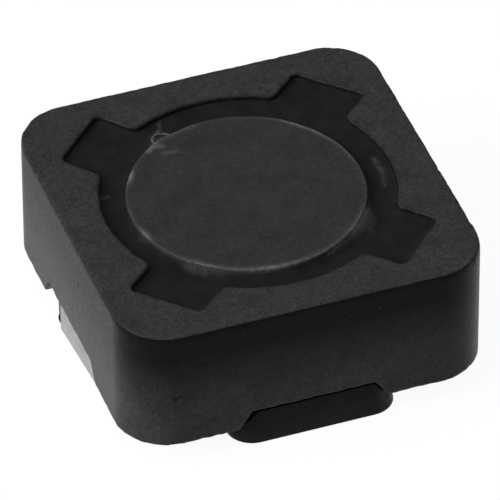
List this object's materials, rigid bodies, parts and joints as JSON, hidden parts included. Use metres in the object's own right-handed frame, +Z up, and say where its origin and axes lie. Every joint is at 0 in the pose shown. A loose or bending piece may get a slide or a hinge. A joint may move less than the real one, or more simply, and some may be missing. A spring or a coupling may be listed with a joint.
{
  "type": "shielded smd inductor",
  "caption": "Square surface-mount power inductor: a wound ferrite drum glued in the bore of a ferrite ring, on a moulded base with folded terminals.",
  "frame": {"origin": "centre of the square outline, in the plane of the solder pads", "axes": "+Z up out of the board, -Y the front side with a plain tab, -X the left terminal, +X the right terminal"},
  "size_m": [0.0126, 0.0126, 0.0054],
  "materials": {
    "shield_ferrite": "matte",
    "drum_ferrite": "matte",
    "copper_wire": "gloss",
    "base_plastic": "matte",
    "tinned_strip": "satin",
    "solder": "satin",
    "black_adhesive": "satin",
    "bond_film": "matte"
  },
  "bodies": {
    "root": {"shield_core": "shield_ferrite", "drum_core": "drum_ferrite", "coil_winding": "copper_wire", "terminal_base": "base_plastic", "terminal_left": "tinned_strip", "terminal_right": "tinned_strip", "solder_left": "solder", "solder_right": "solder", "core_adhesive": "black_adhesive", "base_adhesive": "bond_film"}
  },
  "joints": []
}
